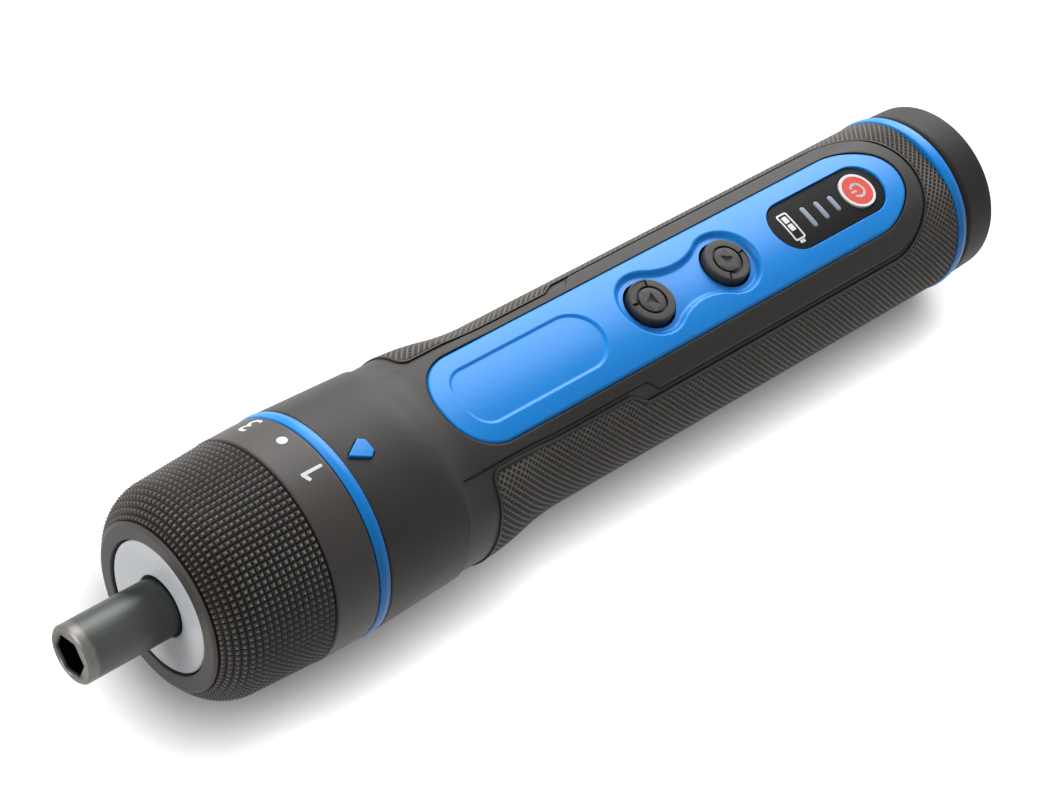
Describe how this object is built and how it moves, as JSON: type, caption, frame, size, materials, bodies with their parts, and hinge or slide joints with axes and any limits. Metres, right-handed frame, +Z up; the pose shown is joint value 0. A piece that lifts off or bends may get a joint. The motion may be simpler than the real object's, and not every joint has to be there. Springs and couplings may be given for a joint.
{
  "type": "electric screwdriver",
  "caption": "Straight cordless screwdriver with a knurled torque selector, hex bit spindle, rubber grip and a panel of push buttons, driven by a motor through planetary gears.",
  "frame": {"origin": "centre of the flat tail end face, on the spindle axis", "axes": "+X along the spindle axis from the tail to the bit, +Z up through the control panel"},
  "size_m": [0.2058, 0.041, 0.041],
  "materials": {
    "housing_plastic": "matte",
    "tail_plastic": "satin",
    "grip_rubber": "matte",
    "blue_plastic": "satin",
    "selector_plastic": "matte",
    "button_plastic": "matte",
    "power_red": "satin",
    "plate_plastic": "satin",
    "light_guide": "satin",
    "lens_plastic": "satin",
    "spindle_steel": "satin",
    "bright_steel": "polished",
    "spring_steel": "satin",
    "gear_steel": "satin",
    "bush_bronze": "satin",
    "motor_steel": "satin",
    "rotor_iron": "satin",
    "magnet_black": "matte",
    "inner_nylon": "satin",
    "cell_wrap": "gloss",
    "board_green": "satin",
    "switch_black": "satin",
    "led_white": "gloss",
    "socket_steel": "polished"
  },
  "bodies": {
    "housing": {"battery_cell": "cell_wrap", "battery_cradle": "inner_nylon", "button_switches": "switch_black", "cell_front_tab": "bright_steel", "cell_rear_tab": "bright_steel", "charge_board": "board_green", "charge_socket": "socket_steel", "clutch_balls": "bright_steel", "clutch_ring_gear": "gear_steel", "clutch_spring": "spring_steel", "clutch_washer": "bright_steel", "control_board": "board_green", "control_panel": "blue_plastic", "first_ring_gear": "gear_steel", "front_bush": "bush_bronze", "gear_case": "inner_nylon", "grip_sleeve": "grip_rubber", "head_trim_ring": "blue_plastic", "indicator_leds": "led_white", "indicator_plate": "plate_plastic", "light_bars": "light_guide", "light_board": "board_green", "light_leds": "led_white", "light_lens": "lens_plastic", "lower_shell": "housing_plastic", "motor_can": "motor_steel", "motor_end_cap": "inner_nylon", "motor_magnets": "magnet_black", "motor_plate": "motor_steel", "motor_screws": "bright_steel", "nose_retainer": "inner_nylon", "pointer": "blue_plastic", "rear_bush": "bush_bronze", "shell_screws": "bright_steel", "tail_cap": "tail_plastic", "tail_trim_ring": "blue_plastic", "upper_shell": "housing_plastic"},
    "selector": {"selector_ring": "selector_plastic"},
    "clutch_nut": {"clutch_nut": "inner_nylon"},
    "rotor": {"motor_rotor": "rotor_iron", "motor_pinion": "gear_steel"},
    "first_carrier": {"first_carrier": "gear_steel", "first_pins": "bright_steel"},
    "spindle": {"spindle": "spindle_steel", "output_carrier": "gear_steel", "second_pins": "bright_steel", "spindle_clip": "bright_steel", "bit_magnet": "magnet_black"},
    "forward_button": {"forward_button": "button_plastic"},
    "reverse_button": {"reverse_button": "button_plastic"},
    "power_button": {"power_button": "power_red"},
    "first_planet_1": {"first_planet_1": "gear_steel"},
    "first_planet_2": {"first_planet_2": "gear_steel"},
    "first_planet_3": {"first_planet_3": "gear_steel"},
    "second_planet_1": {"second_planet_1": "gear_steel"},
    "second_planet_2": {"second_planet_2": "gear_steel"},
    "second_planet_3": {"second_planet_3": "gear_steel"}
  },
  "joints": [
    {"name": "rotor_spin", "type": "hinge", "parent": "housing", "child": "rotor", "pos_m": [0.12, 0, 0], "axis": [1, 0, 0], "continuous": true},
    {"name": "first_carrier_spin", "type": "hinge", "parent": "housing", "child": "first_carrier", "pos_m": [0.145, 0, 0], "axis": [1, 0, 0], "continuous": true},
    {"name": "spindle_spin", "type": "hinge", "parent": "housing", "child": "spindle", "pos_m": [0.18, 0, 0], "axis": [1, 0, 0], "continuous": true},
    {"name": "first_planet_1_spin", "type": "hinge", "parent": "first_carrier", "child": "first_planet_1", "pos_m": [0.1407, 0, 0.0081], "axis": [1, 0, 0], "continuous": true},
    {"name": "first_planet_2_spin", "type": "hinge", "parent": "first_carrier", "child": "first_planet_2", "pos_m": [0.1407, 0.00701, -0.00405], "axis": [1, 0, 0], "continuous": true},
    {"name": "first_planet_3_spin", "type": "hinge", "parent": "first_carrier", "child": "first_planet_3", "pos_m": [0.1407, -0.00701, -0.00405], "axis": [1, 0, 0], "continuous": true},
    {"name": "second_planet_1_spin", "type": "hinge", "parent": "spindle", "child": "second_planet_1", "pos_m": [0.1491, 0, 0.0081], "axis": [1, 0, 0], "continuous": true},
    {"name": "second_planet_2_spin", "type": "hinge", "parent": "spindle", "child": "second_planet_2", "pos_m": [0.1491, 0.00701, -0.00405], "axis": [1, 0, 0], "continuous": true},
    {"name": "second_planet_3_spin", "type": "hinge", "parent": "spindle", "child": "second_planet_3", "pos_m": [0.1491, -0.00701, -0.00405], "axis": [1, 0, 0], "continuous": true},
    {"name": "selector_turn", "type": "hinge", "parent": "housing", "child": "selector", "pos_m": [0.17, 0, 0], "axis": [-1, 0, 0], "range_deg": [0, 96]},
    {"name": "clutch_nut_slide", "type": "slide", "parent": "housing", "child": "clutch_nut", "axis": [-1, 0, 0], "range_m": [0, 0.0032], "deforming": ["clutch_spring"]},
    {"name": "forward_press", "type": "slide", "parent": "housing", "child": "forward_button", "axis": [0, 0, -1], "range_m": [0, 0.0005], "stiffness_N_per_m": 2000},
    {"name": "reverse_press", "type": "slide", "parent": "housing", "child": "reverse_button", "axis": [0, 0, -1], "range_m": [0, 0.0005], "stiffness_N_per_m": 2000},
    {"name": "power_press", "type": "slide", "parent": "housing", "child": "power_button", "axis": [0, 0, -1], "range_m": [0, 0.0005], "stiffness_N_per_m": 2000}
  ],
  "couplings": [
    {"joint": "first_carrier_spin", "follows": "rotor_spin", "ratio": 0.22222},
    {"joint": "spindle_spin", "follows": "rotor_spin", "ratio": 0.049383},
    {"joint": "first_planet_1_spin", "follows": "rotor_spin", "ratio": -0.62222},
    {"joint": "first_planet_2_spin", "follows": "rotor_spin", "ratio": -0.62222},
    {"joint": "first_planet_3_spin", "follows": "rotor_spin", "ratio": -0.62222},
    {"joint": "second_planet_1_spin", "follows": "rotor_spin", "ratio": -0.13827},
    {"joint": "second_planet_2_spin", "follows": "rotor_spin", "ratio": -0.13827},
    {"joint": "second_planet_3_spin", "follows": "rotor_spin", "ratio": -0.13827},
    {"joint": "clutch_nut_slide", "follows": "selector_turn", "m_per_rad": 0.0019099}
  ]
}
